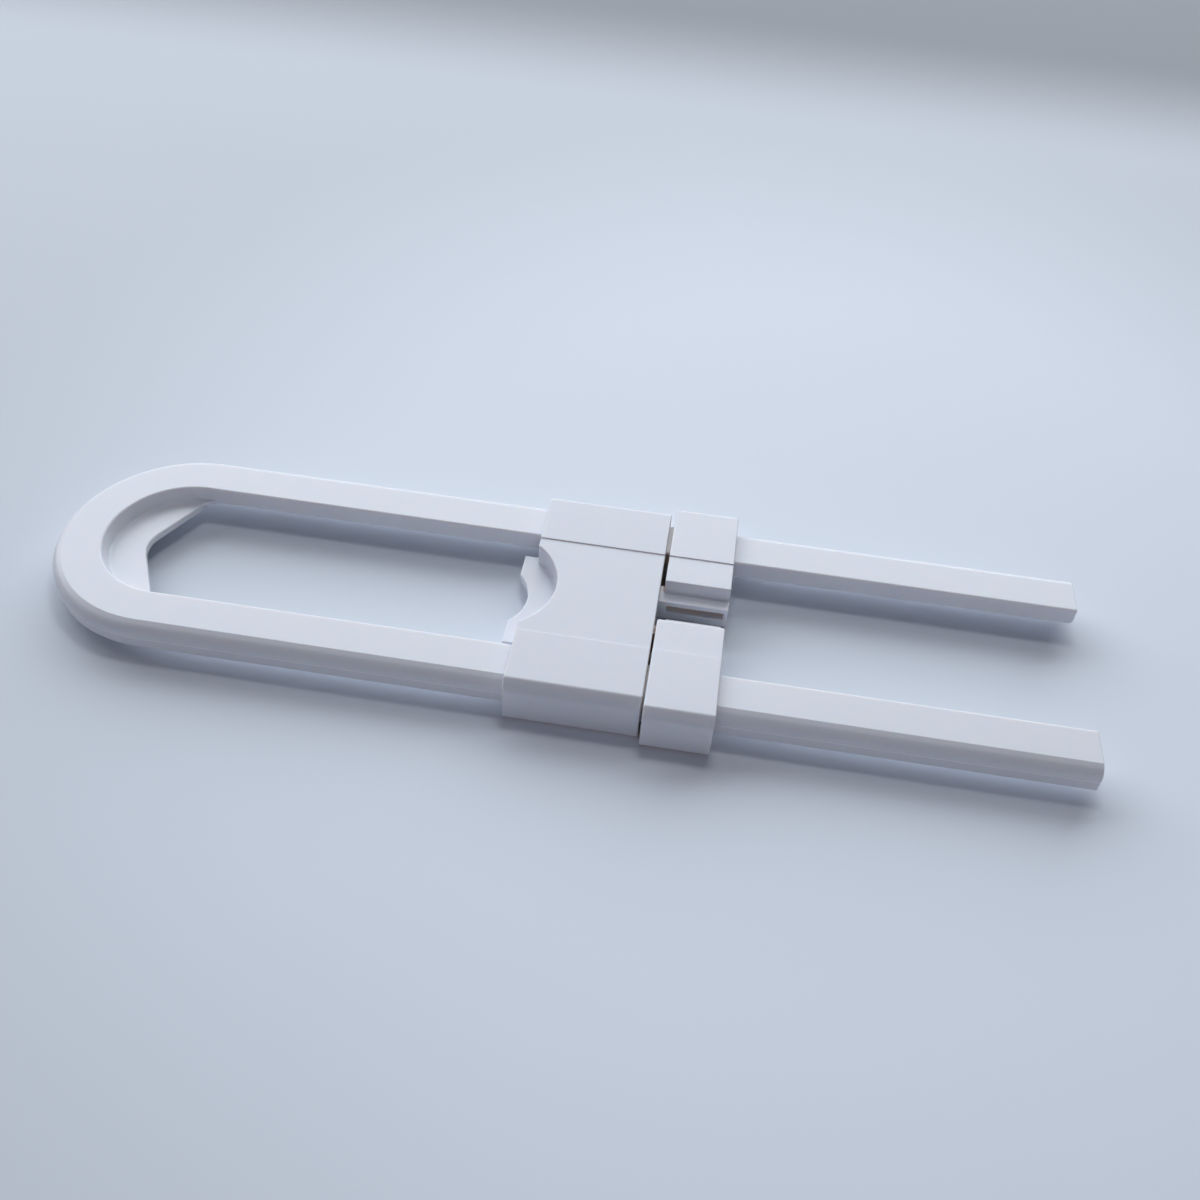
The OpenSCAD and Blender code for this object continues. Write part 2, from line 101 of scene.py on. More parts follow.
class Graph:
    """Adds nodes to one material or geometry tree."""

    def __init__(self, tree: bpy.types.NodeTree) -> None:
        """Keeps the tree that the nodes go into."""
        self.tree = tree

    def add(self, kind: str, inputs: dict | None = None, **settings: object) -> bpy.types.Node:
        """Adds one node.

        Args:
            kind: The node's type name.
            inputs: Values or sockets, by the name or number of the input that they go to.
            settings: The node's own properties.

        Returns:
            The new node.
        """
        node = self.tree.nodes.new(kind)
        for name, value in settings.items():
            setattr(node, name, value)
        for name, value in (inputs or {}).items():
            if isinstance(value, Socket):
                self.tree.links.new(value, node.inputs[name])
            else:
                node.inputs[name].default_value = value
        return node

    def math(self, operation: str, *values: float | Socket) -> Socket:
        """Does one sum on numbers or sockets and gives the result's socket."""
        return self.add("ShaderNodeMath", dict(enumerate(values)), operation=operation).outputs["Value"]

    def mix(self, factor: Socket, first: Colour | Socket, second: Colour | Socket) -> Socket:
        """Mixes two colours.

        Args:
            factor: Share of the second colour.
            first: The first colour, or a socket that gives it.
            second: The second one.

        Returns:
            The result's socket.
        """
        node = self.add("ShaderNodeMix", {"Factor": factor}, data_type="RGBA")
        for slot, colour in ((node.inputs[6], first), (node.inputs[7], second)):
            if isinstance(colour, Socket):
                self.tree.links.new(colour, slot)
            else:
                slot.default_value = (*colour, 1)
        return node.outputs[2]

    def noise(self, place: Socket, scale: float, detail: float = 2) -> Socket:
        """Noise at a place, with a scale in waves per metre."""
        node = self.add("ShaderNodeTexNoise", {"Vector": place, "Scale": scale, "Detail": detail})
        return node.outputs["Fac"]

    def span(self, value: Socket, low: float, high: float) -> Socket:
        """Spreads a value from the middle of the noise over a range.

        Args:
            value: The noise.
            low: What its low values become.
            high: What its high values become.

        Returns:
            The result's socket.
        """
        limits = {"Value": value, "From Min": 0.3, "From Max": 0.7, "To Min": low, "To Max": high}
        return self.add("ShaderNodeMapRange", limits).outputs["Result"]

    def close(self, shape: Socket, material: Socket) -> None:
        """Ends a geometry tree: makes its instances real and sets their material.

        Args:
            shape: The finished geometry.
            material: Its material.
        """
        real = self.add("GeometryNodeRealizeInstances", {"Geometry": shape}).outputs["Geometry"]
        done = self.add("GeometryNodeSetMaterial", {"Geometry": real, "Material": material})
        self.add("NodeGroupOutput", {"Geometry": done.outputs["Geometry"]})


@dataclass(frozen=True)
class Finish:
    """A surface finish, made once and shared by every piece that has it."""

    name: str
    colour: Colour
    roughness: float

    def material(self) -> bpy.types.Material:
        """Gives the finish's material and builds it at its first use.

        Returns:
            The material.
        """
        made = bpy.data.materials.get(self.name)
        if made is None:
            made = bpy.data.materials.new(self.name)
            made.use_nodes = True
            made.diffuse_color = (*self.colour, 1)
            self.build(Graph(made.node_tree), made.node_tree.nodes["Principled BSDF"])
        return made

    def build(self, graph: Graph, shader: bpy.types.Node) -> None:
        """Fills the material's tree.

        Args:
            graph: The tree.
            shader: Its Principled BSDF.
        """
        raise NotImplementedError


@dataclass(frozen=True)
class PaintedSeamHighlight:
    """A painted highlight round the bar's outer side: a lighter colour along the mould's parting line stands
    in for the light that the seam catches.
    """

    height: float = 0.00475
    width: float = 0.00026
    bend_x: float = -0.0727
    reach: float = 0.0222
    # Colour of the painted highlight.
    colour: Colour = (0.93, 0.95, 1.0)

    def share(self, graph: Graph, place: Socket) -> Socket:
        """How much of a place lies on the line.

        Args:
            graph: The tree.
            place: The place, in metres.

        Returns:
            A socket with 1 on the line and 0 elsewhere.
        """
        x, y, z = graph.add("ShaderNodeSeparateXYZ", {"Vector": place}).outputs
        across = graph.math("MINIMUM", graph.math("SUBTRACT", x, self.bend_x), 0.0)
        level = graph.add("ShaderNodeCombineXYZ", {"X": across, "Y": y}).outputs["Vector"]
        away = graph.add("ShaderNodeVectorMath", {0: level}, operation="LENGTH").outputs["Value"]
        near = graph.math("COMPARE", z, self.height, self.width / 2)
        return graph.math("MULTIPLY", graph.math("GREATER_THAN", away, self.reach), near)


@dataclass(frozen=True)
class MouldedPlastic(Finish):
    """Satin moulded plastic: a fine grain, slow swells of the tool's polish and a little light inside it,
    with painted warm shade in its hollows and an optional painted highlight along the parting line.
    """

    grain_depth: float = 1.4e-6
    swell_depth: float = 1.6e-5
    grain_scale: float = 2400.0
    swell_scale: float = 75.0
    cloud_scale: float = 160.0
    mottle: float = 0.985
    gloss_swing: float = 0.03
    # Painted shade in hollows: how far the occlusion search reaches, the occlusion level at full shade, and
    # the shade's colour.
    depth: float = 0.0013
    hollow_shade_reach: float = 0.003
    hollow_shade_limit: float = 0.42
    hollow_shade_colour: Colour = (0.86, 0.66, 0.5)
    line: PaintedSeamHighlight | None = None

    def build(self, graph: Graph, shader: bpy.types.Node) -> None:
        """Fills the material's tree.

        Args:
            graph: The tree.
            shader: Its Principled BSDF.
        """
        place = graph.add("ShaderNodeTexCoord").outputs["Object"]
        grain = graph.noise(place, self.grain_scale, 3)
        swell = graph.noise(place, self.swell_scale)
        cloud = graph.noise(place, self.cloud_scale, 4)
        darker = tuple(c * self.mottle for c in self.colour)
        links = graph.tree.links
        # Painted shade: where ambient occlusion finds nearby surfaces, the colour turns to a warm darker tone
        # that stands in for the shade and warm bounce in gaps and crevices.
        around = graph.add("ShaderNodeAmbientOcclusion", {"Distance": self.hollow_shade_reach}, samples=6)
        limits = {"Value": around.outputs["AO"], "From Max": self.hollow_shade_limit, "To Min": 1.0, "To Max": 0.0}
        painted_shade = graph.add("ShaderNodeMapRange", limits).outputs["Result"]
        tint = graph.mix(painted_shade, graph.mix(cloud, darker, self.colour), self.hollow_shade_colour)
        # Painted highlight: the lighter colour along the parting line stands in for light caught by the seam.
        if self.line is not None:
            tint = graph.mix(self.line.share(graph, place), tint, self.line.colour)
        links.new(tint, shader.inputs["Base Color"])
        gloss = graph.span(cloud, self.roughness - self.gloss_swing, self.roughness + self.gloss_swing)
        links.new(gloss, shader.inputs["Roughness"])
        slow = graph.add("ShaderNodeBump", {"Height": swell, "Distance": self.swell_depth})
        relief = {"Height": grain, "Distance": self.grain_depth, "Normal": slow.outputs["Normal"]}
        fine = graph.add("ShaderNodeBump", relief)
        links.new(fine.outputs["Normal"], shader.inputs["Normal"])
        shader.inputs["IOR"].default_value = 1.5
        shader.inputs["Subsurface Weight"].default_value = 0.5
        shader.inputs["Subsurface Radius"].default_value = (1.0, 0.66, 0.45)
        shader.inputs["Subsurface Scale"].default_value = self.depth


@dataclass(frozen=True)
class SpringSteel(Finish):
    """Drawn steel wire with a fine grain."""

    grain_scale: float = 5000.0
    grain_depth: float = 2e-6

    def build(self, graph: Graph, shader: bpy.types.Node) -> None:
        """Fills the material's tree.

        Args:
            graph: The tree.
            shader: Its Principled BSDF.
        """
        place = graph.add("ShaderNodeTexCoord").outputs["Object"]
        drawn = graph.noise(place, self.grain_scale, 2)
        links = graph.tree.links
        darker = tuple(c * 0.8 for c in self.colour)
        links.new(graph.mix(drawn, darker, self.colour), shader.inputs["Base Color"])
        links.new(graph.span(drawn, self.roughness - 0.06, self.roughness + 0.08), shader.inputs["Roughness"])
        bump = graph.add("ShaderNodeBump", {"Height": drawn, "Distance": self.grain_depth})
        links.new(bump.outputs["Normal"], shader.inputs["Normal"])
        shader.inputs["Metallic"].default_value = 1.0


@dataclass(frozen=True)
class PaleFloor(Finish):
    """Pale matt table top with painted shade: its colour darkens away from the lock and darkens again far
    behind it, standing in for light that falls off there.
    """

    # Painted shade far behind the lock: where it starts and ends along Y, and the share of colour left.
    far_shade_start: float = 0.225
    far_shade_end: float = 0.315
    far_shade_share: float = 0.38
    # Painted falloff of light round the lock: its centre, where the fall starts and ends, and the share of
    # colour left.
    centre: tuple[float, float, float] = (0.06, 0.02, 0.0)
    near: float = 0.09
    far: float = 0.22
    falloff_share: float = 0.8
    cloud_scale: float = 9.0
    mottle: float = 0.965
    speck_scale: float = 900.0
    speck_depth: float = 8e-6

    def build(self, graph: Graph, shader: bpy.types.Node) -> None:
        """Fills the material's tree.

        Args:
            graph: The tree.
            shader: Its Principled BSDF.
        """
        place = graph.add("ShaderNodeTexCoord").outputs["Object"]
        cloud = graph.noise(place, self.cloud_scale, 3)
        speck = graph.noise(place, self.speck_scale, 2)
        links = graph.tree.links
        darker = tuple(c * self.mottle for c in self.colour)
        level = graph.mix(cloud, darker, self.colour)
        depth = graph.add("ShaderNodeSeparateXYZ", {"Vector": place}).outputs["Y"]
        span = graph.add("ShaderNodeVectorMath", {0: place, 1: self.centre}, operation="DISTANCE")
        # Painted shade: the colour is darkened far behind the lock and away from it, standing in for light
        # that fades there.
        turn = self.fall(graph, depth, self.far_shade_start, self.far_shade_end, self.far_shade_share)
        away = self.fall(graph, span.outputs["Value"], self.near, self.far, self.falloff_share)
        share = graph.math("MULTIPLY", turn, away)
        shaded = graph.add("ShaderNodeVectorMath", {0: level, "Scale": share}, operation="SCALE")
        links.new(shaded.outputs["Vector"], shader.inputs["Base Color"])
        bump = graph.add("ShaderNodeBump", {"Height": speck, "Distance": self.speck_depth})
        links.new(bump.outputs["Normal"], shader.inputs["Normal"])
        shader.inputs["Roughness"].default_value = self.roughness
        shader.inputs["Specular IOR Level"].default_value = 0.3

    @staticmethod
    def fall(graph: Graph, value: Socket, start: float, end: float, share: float) -> Socket:
        """A smooth fall from 1 to a share.

        Args:
            graph: The tree.
            value: What it depends on.
            start: Value where the fall starts.
            end: Value where it ends.
            share: What is left there.

        Returns:
            The result's socket.
        """
        limits = {"Value": value, "From Min": start, "From Max": end, "To Min": 1.0, "To Max": share}
        node = graph.add("ShaderNodeMapRange", limits, interpolation_type="SMOOTHSTEP")
        return node.outputs["Result"]


BAR_PLASTIC = MouldedPlastic(
    "Bar plastic", (0.80, 0.82, 0.87), 0.34, hollow_shade_colour=(0.80, 0.75, 0.72), line=PaintedSeamHighlight()
)
HOUSING_PLASTIC = MouldedPlastic("Housing plastic", (0.765, 0.785, 0.84), 0.36, swell_depth=1.4e-5)
BUTTON_PLASTIC = MouldedPlastic("Button plastic", (0.77, 0.79, 0.845), 0.24, swell_depth=1.2e-5)
BASE_PLASTIC = MouldedPlastic("Base plastic", (0.78, 0.80, 0.84), 0.45)
SPRING_WIRE = SpringSteel("Spring wire", (0.62, 0.63, 0.65), 0.3)
FLOOR_FINISH = PaleFloor("Pale floor", (0.82, 0.875, 0.95), 0.55)


def rounded(corners: Sequence[tuple[float, float, float]], steps: int = 6) -> list[Point]:
    """Rounds the corners of a closed outline.

    Args:
        corners: Each corner's two coordinates and its radius.
        steps: Steps in each round corner.

    Returns:
        The outline's points, in the order of the corners.
    """
    points: list[Point] = []
    for i, (x, y, radius) in enumerate(corners):
        here = Vector((x, y))
        if radius == 0:
            points.append((x, y))
            continue
        back = (Vector(corners[i - 1][:2]) - here).normalized()
        ahead = (Vector(corners[(i + 1) % len(corners)][:2]) - here).normalized()
        half = back.angle(ahead) / 2
        centre = here + (back + ahead).normalized() * radius / math.sin(half)
        first = here + back * radius / math.tan(half) - centre
        last = here + ahead * radius / math.tan(half) - centre
        for k in range(steps + 1):
            arm = first.normalized().slerp(last.normalized(), k / steps)
            points.append(tuple(centre + arm * radius))
    return points


def line_object(name: str, points: Sequence[Sequence[float]], closed: bool) -> bpy.types.Object:
    """An object of edges only, from points in millimetres, that a geometry tree reads as a curve.

    Args:
        name: The object's name.
        points: Points of two or three coordinates.
        closed: Whether the last point joins the first.

    Returns:
        The new object, linked to the scene and hidden.
    """
    mesh = bpy.data.meshes.new(name)
    places = [Vector((*p, 0)[:3]) * MM for p in points]
    edges = [(i, i + 1) for i in range(len(places) - 1)]
    if closed:
        edges.append((len(places) - 1, 0))
    mesh.from_pydata(places, edges, [])
    return helper_object(name, mesh)


def helper_object(name: str, mesh: bpy.types.Mesh) -> bpy.types.Object:
    """Adds a hidden object for a geometry tree to read.

    Args:
        name: The object's name.
        mesh: Its mesh.

    Returns:
        The new object, linked to the scene.
    """
    made = bpy.data.objects.new(name, mesh)
    bpy.context.scene.collection.objects.link(made)
    made.hide_render = True
    return made


def prism_mesh(name: str, outline: Sequence[Point], low: float, high: float) -> bpy.types.Mesh:
    """A closed prism on an outline in millimetres.

    Args:
        name: The mesh's name.
        outline: Its points, anticlockwise seen from above.
        low: Height of its underside.
        high: Height of its top.

    Returns:
        The new mesh.
    """
    made = bmesh.new()
    below = [made.verts.new(Vector((x, y, low)) * MM) for x, y in outline]
    above = [made.verts.new(Vector((x, y, high)) * MM) for x, y in outline]
    made.faces.new(reversed(below))
    made.faces.new(above)
    for i in range(len(outline)):
        k = (i + 1) % len(outline)
        made.faces.new((below[i], below[k], above[k], above[i]))
    mesh = bpy.data.meshes.new(name)
    made.to_mesh(mesh)
    made.free()
    return mesh


def evaluated_mesh(made: bpy.types.Object, name: str) -> bpy.types.Mesh:
    """Makes a plain mesh of an object with its modifiers applied.

    Args:
        made: The object.
        name: The mesh's name.

    Returns:
        The new mesh.
    """
    graph = bpy.context.evaluated_depsgraph_get()
    mesh = bpy.data.meshes.new_from_object(made.evaluated_get(graph), depsgraph=graph)
    mesh.name = name
    return mesh


def apply_modifiers(made: bpy.types.Object) -> None:
    """Bakes an object's modifiers into its mesh.

    Args:
        made: The object.
    """
    mesh = evaluated_mesh(made, made.data.name)
    made.modifiers.clear()
    made.data = mesh


def geometry_tree(name: str, inputs: dict[str, str]) -> Graph:
    """Starts a geometry tree that takes and gives geometry.

    Args:
        name: The tree's name.
        inputs: The kinds of its further inputs, by name.

    Returns:
        The tree's graph.
    """
    tree = bpy.data.node_groups.new(name, "GeometryNodeTree")
    for socket, kind in {"Geometry": "Geometry", **inputs}.items():
        tree.interface.new_socket(socket, in_out="INPUT", socket_type=f"NodeSocket{kind}")
    tree.interface.new_socket("Geometry", in_out="OUTPUT", socket_type="NodeSocketGeometry")
    return Graph(tree)


def apply_tree(made: bpy.types.Object, tree: bpy.types.GeometryNodeTree, values: Sequence[object]) -> None:
    """Runs a geometry tree on an object and bakes the result into its mesh.

    Args:
        made: The object.
        tree: The tree.
        values: Values of the tree's inputs after the first, in their order.
    """
    modifier = made.modifiers.new(tree.name, "NODES")
    modifier.node_group = tree
    inputs = [socket for socket in tree.interface.items_tree if socket.in_out == "INPUT"]
    for socket, value in zip(inputs[1:], values, strict=True):
        modifier[socket.identifier] = value
    apply_modifiers(made)


def remove_helpers(helpers: Sequence[bpy.types.Object]) -> None:
    """Deletes objects that only a geometry tree needed.

    Args:
        helpers: The objects.
    """
    for helper in helpers:
        bpy.data.objects.remove(helper)


def soften(made: bpy.types.Object, width: float, weight: Callable[[bmesh.types.BMEdge], float]) -> None:
    """Rounds edges by a small radius and gives the faces even shading.

    Args:
        made: The object, whose mesh is changed.
        width: Radius in millimetres at a weight of 1.
        weight: Gives an edge's share of the radius.
    """
    shape = bmesh.new()
    shape.from_mesh(made.data)
    shape.normal_update()
    layer = shape.edges.layers.float.new("bevel_weight_edge")
    for edge in shape.edges:
        edge[layer] = weight(edge)
    shape.to_mesh(made.data)
    shape.free()
    bevel = made.modifiers.new("Edge radii", "BEVEL")
    bevel.limit_method = "WEIGHT"
    bevel.width = width * MM
    bevel.segments = 3
    bevel.miter_outer = "MITER_ARC"
    bevel.use_clamp_overlap = False
    apply_modifiers(made)
    made.data.attributes.remove(made.data.attributes["bevel_weight_edge"])
    shade(made)


def shade(made: bpy.types.Object, angle: float = 32.0) -> None:
    """Shades faces smooth up to an angle, with normals weighted by face area.

    Args:
        made: The object, whose mesh is changed.
        angle: Largest angle in degrees between faces that shade as one.
    """
    made.data.shade_smooth()
    made.data.set_sharp_from_angle(angle=math.radians(angle))
    normals = made.modifiers.new("Even normals", "WEIGHTED_NORMAL")
    normals.keep_sharp = True
    apply_modifiers(made)


def merged_copy(node: str, name: str, cuts: Sequence[tuple[Axis, float]] = ()) -> bpy.types.Object:
    """A copy of a CAD node as one closed mesh, with its flat faces joined.

    Args:
        node: The node's name.
        name: The copy's name.
        cuts: Planes through holes in flat faces, which split these faces there, as an axis and a place.

    Returns:
        The new object.
    """
    shape = bmesh.new()
    shape.from_mesh(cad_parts[node].data)
    bmesh.ops.remove_doubles(shape, verts=shape.verts, dist=1e-7)
    for axis, place in cuts:
        way = Vector(axis.value)
        everything = [*shape.verts, *shape.edges, *shape.faces]
        plane = way * place * MM
        cut = bmesh.ops.bisect_plane(shape, geom=everything, dist=1e-7, plane_co=plane, plane_no=way)
        for part in cut["geom_cut"]:
            if isinstance(part, bmesh.types.BMEdge):
                part.seam = True
    bmesh.ops.dissolve_limit(
        shape,
        angle_limit=math.radians(0.4),
        verts=shape.verts,
        edges=shape.edges,
        use_dissolve_boundaries=False,
        delimit={"SEAM"},
    )
    for edge in shape.edges:
        edge.seam = False
    mesh = bpy.data.meshes.new(name)
    shape.to_mesh(mesh)
    shape.free()
    mesh.materials.clear()
    made = bpy.data.objects.new(name, mesh)
    bpy.context.scene.collection.objects.link(made)
    return made


@dataclass
class OpenEdges:
    """Finds a mesh's outer edges, which light can reach, so that only these are rounded."""

    made: bpy.types.Object
    least_angle: float = 25.0
    reach: float = 3.0

    def __post_init__(self) -> None:
        """Builds the search tree."""
        shape = bmesh.new()
        shape.from_mesh(self.made.data)
        bmesh.ops.triangulate(shape, faces=shape.faces)
        self.tree = BVHTree.FromBMesh(shape)
        shape.free()

    def is_corner(self, edge: bmesh.types.BMEdge) -> bool:
        """Whether the edge's two faces meet at an angle."""
        return len(edge.link_faces) == 2 and edge.calc_face_angle(0) > math.radians(self.least_angle)

    def sees_out(self, edge: bmesh.types.BMEdge) -> bool:
        """Tells whether a straight way out starts at the edge's middle.

        Args:
            edge: The edge. The ways tried lie between its two faces' normals.

        Returns:
            True where one of the ways meets nothing.
        """
        middle = (edge.verts[0].co + edge.verts[1].co) / 2
        first, second = (face.normal for face in edge.link_faces)
        between = (first + second).normalized()
        for way in (between, (between + first).normalized(), (between + second).normalized()):
            start = middle + way * 0.05 * MM
            if self.tree.ray_cast(start, way, self.reach * MM)[0] is None:
                return True
        return False

    def weight(self, edge: bmesh.types.BMEdge) -> float:
        """Gives the share of the full edge radius that an edge gets.

        Args:
            edge: The edge.

        Returns:
            All of it on an open corner, else none.
        """
        if not self.is_corner(edge) or not self.sees_out(edge):
            return EdgeKind.SHARP.value
        return EdgeKind.FULL.value


@dataclass
class Bar:
    """The looped bar: one section swept along both arms and the bend, with a web and a rack of saw teeth."""

    length: float = 192.2
    width: float = 46.8
    arm_width: float = 9.05
    arm_height: float = 5.6
    cap_height: float = 4.1
    skirt: float = 4.15
    top: float = 7.7
    bevel_width: float = 1.95
    bevel_drop: float = 0.9
    bevel_radius: float = 2.2
    inner_radius: float = 0.4
    under_radius: float = 1.0
    skirt_radius: float = 0.9
    seam_drop: float = 2.95
    seam_depth: float = 0.05
    end_lean: float = 0.2
    end_radius: float = 0.9
    edge_radius: float = 0.16
    web_drop: float = 3.05
    web_thickness: float = 1.4
    web_draft: float = 0.6
    web_fillet: float = 0.6
    wall_fade: float = 4.5
    web_reach: float = 16.25
    nose_radius: float = 6.0
    slope: float = 27.0
    tooth_pitch: float = 2.5
    tooth_height: float = 1.2
    tooth_land: float = 0.3
    rack_margin: float = 2.5
    bevel_top_radius: float = 0.12
    skirt_corner: float = 0.3
    skirt_inner_radius: float = 0.15
    fade_rise: float = 1.1
    fade_power: float = 1.5
    tip_sink: float = 0.4
    rim_sink: float = 0.5
    tooth_sink: float = 0.3
    web_edge_radius: float = 0.3
    finish: Finish = BAR_PLASTIC
    helpers: list[bpy.types.Object] = field(default_factory=list)

    @property
    def half(self) -> float:
        """Half of the bar's width."""
        return self.width / 2

    @property
    def inside(self) -> float:
        """Distance from the middle plane to an arm's inner side, which is also the bend's inner radius."""
        return self.half - self.arm_width

    @property
    def bend_x(self) -> float:
        """Where the bend's centre lies."""
        return self.half - self.length / 2

    @property
    def web_top(self) -> float:
        """Height of the web's top."""
        return self.top - self.web_drop

    def section(self) -> bpy.types.Object:
        """Draws the arm's section, measured inwards from its outer side and down from its top.

        Returns:
            The outline's object.
        """
        seam = self.seam_depth
        corners = [
            (self.bevel_width, 0, self.bevel_top_radius),
            (self.arm_width, 0, self.inner_radius),
            (self.arm_width, self.cap_height, self.under_radius),
            (self.skirt, self.cap_height, self.skirt_corner),
            (self.skirt, self.arm_height, self.skirt_inner_radius),
            (0, self.arm_height, self.skirt_radius),
            (0, self.seam_drop + seam, seam / 2),
            (seam, self.seam_drop, seam / 3),
            (0, self.seam_drop - seam, seam / 2),
            (0, self.bevel_drop, self.bevel_radius),
        ]
        return line_object("Arm section", rounded(corners, steps=9), closed=True)

    def path(self, steps: int = 96) -> bpy.types.Object:
        """Draws the bar's outer top line, from the front arm's free end round the bend to the back arm's.

        Args:
            steps: Steps round the bend.

        Returns:
            The object that becomes the bar.
        """
        end = self.length / 2
        turns = [math.pi * (1.5 - k / steps) for k in range(steps + 1)]
        points = [(end, -self.half, self.top)]
        points += [
            (self.bend_x + self.half * math.cos(turn), self.half * math.sin(turn), self.top) for turn in turns
        ]
        points.append((end, self.half, self.top))
        made = line_object("Bar", points, closed=False)
        made.hide_render = False
        return made

    def wall_section(self) -> bpy.types.Object:
        """Draws the bend's leaning inner wall and its fillet, outwards and up from the web's top.

        Returns:
            The outline's object.
        """
        foot = self.inside - self.web_draft
        sunk = self.web_thickness / 2
        corners = [
            (foot - self.web_fillet * 2, -sunk, 0),
            (self.inside + sunk, -sunk, 0),
            (self.inside + sunk, self.web_drop - self.inner_radius, 0),
            (self.inside, self.web_drop - self.inner_radius, 0),
            (foot, 0, self.web_fillet),
            (foot - self.web_fillet * 2, 0, 0),
        ]
        return line_object("Wall section", [(self.half - x, -y) for x, y in rounded(corners)], closed=True)

    def web_angle(self) -> float:
        """Works out how far short of the arms the web ends along the bend's inner side.

        Returns:
            The angle in degrees.
        """
        tangent_x = self.nose_x - self.nose_radius * math.cos(math.radians(self.slope))
        tangent_y = self.nose_radius * math.sin(math.radians(self.slope))
        tip_x = tangent_x + (self.inside - tangent_y) * math.tan(math.radians(self.slope))
        return math.degrees(math.asin(max(0.0, self.bend_x - tip_x) / self.inside))

    @property
    def nose_x(self) -> float:
        """Centre of the round nose of the web's free edge."""
        return -self.length / 2 + self.web_reach + self.nose_radius

    def wall_path(self, steps: int = 120) -> bpy.types.Object:
        """Draws the outer line for the wall's section, which goes outwards at the web's tips to fade there.

        Args:
            steps: Steps from tip to tip.

        Returns:
            The line's object.
        """
        short = math.radians(self.web_angle())
        fade = self.wall_fade / self.inside
        rise = (self.web_draft + 2 * self.web_fillet) * self.fade_rise
        points = []
        for k in range(steps + 1):
            turn = short + k * (math.pi - 2 * short) / steps
            left = min(turn - short, math.pi - short - turn) / fade
            reach = self.half + rise * max(0.0, 1 - left) ** self.fade_power
            points.append((self.bend_x - reach * math.sin(turn), -reach * math.cos(turn), self.web_top))
        return line_object("Wall path", points, closed=False)

    def web(self, steps: int = 40) -> bpy.types.Object:
        """Builds the thin plate in the bend, with a small radius along its free edge.

        Args:
            steps: Steps round the free edge's nose.

        Returns:
            The plate's object.
        """
        slope = math.radians(self.slope)
        nose = [
            (self.nose_x - self.nose_radius * math.cos(a), self.nose_radius * math.sin(a))
            for a in (slope - 2 * slope * k / steps for k in range(steps + 1))
        ]
        far_y = self.inside + self.tip_sink
        far_x = nose[0][0] + (far_y - nose[0][1]) * math.tan(slope)
        reach = self.inside + self.rim_sink
        short = math.degrees(math.asin((self.bend_x - far_x) / reach))
        back = [
            (self.bend_x + reach * math.cos(t), reach * math.sin(t))
            for t in (math.radians(270 - short - k * (180 - 2 * short) / 72) for k in range(73))
        ]
        outline = [(far_x, far_y), *nose, (far_x, -far_y), *back]
        mesh = prism_mesh("Web", outline[::-1], self.web_top - self.web_thickness, self.web_top)
        plate = helper_object("Web", mesh)

        def free_edge(edge: bmesh.types.BMEdge) -> float:
            """Gives the share of the radius along the free edge.

            Args:
                edge: An edge of the plate.

            Returns:
                All of it at the top, half at the bottom, none elsewhere.
            """
            middle = (edge.verts[0].co + edge.verts[1].co) / 2 / MM
            level = abs(edge.verts[0].co.z - edge.verts[1].co.z) < 1e-7
            inside = math.hypot(middle.x - self.bend_x, middle.y) < self.inside + 0.3
            if not (level and inside):
                return 0.0
            return 1.0 if middle.z > self.web_top - 0.1 else 0.5

        soften(plate, self.web_edge_radius, free_edge)
        return plate

    def tooth(self) -> bpy.types.Object:
        """Builds one saw tooth of the back arm's rack, steep towards the bend.

        Returns:
            The tooth's object.
        """
        root = self.half - self.skirt
        tip = root - self.tooth_height
        sunk = root + self.tooth_sink
        pitch = self.tooth_pitch
        outline = [(0, tip), (self.tooth_land, tip), (pitch, root), (pitch, sunk), (0, sunk)]
        low = self.top - self.arm_height
        high = self.top - self.cap_height + self.tooth_sink
        return helper_object("Tooth", prism_mesh("Tooth", outline, low, high))

    def tree(self) -> bpy.types.GeometryNodeTree:
        """Builds the geometry tree: sweeps, racks and the web, joined into one closed solid.

        Returns:
            The tree, with the bar's sizes and helper objects as its inputs.
        """
        shapes = ("Section", "Wall path", "Wall section", "Web", "Tooth")
        sizes = {"Tooth pitch": "Float", "Teeth": "Int", "Rack start": "Float", "Finish": "Material"}
        graph = geometry_tree("Swept bar", {**dict.fromkeys(shapes, "Object"), **sizes})
        given = graph.add("NodeGroupInput").outputs

        def shape_of(name: str) -> Socket:
            """Geometry of the object that an input names."""
            return graph.add("GeometryNodeObjectInfo", {"Object": given[name]}).outputs["Geometry"]

        def curve_of(shape: Socket) -> Socket:
            """A mesh of edges as a curve."""
            return graph.add("GeometryNodeMeshToCurve", {"Mesh": shape}).outputs["Curve"]

        def sweep(path: Socket, section: Socket) -> Socket:
            """Sweeps a section along a level path and closes its ends.

            Args:
                path: The path's mesh of edges.
                section: The section's mesh of edges.

            Returns:
                The swept mesh's socket.
            """
            level = graph.add("GeometryNodeSetCurveNormal", {"Curve": curve_of(path)}, mode="Z_UP")
            swept = graph.add(
                "GeometryNodeCurveToMesh",
                {"Curve": level.outputs["Curve"], "Profile Curve": curve_of(section), "Fill Caps": True},
            )
            return swept.outputs["Mesh"]

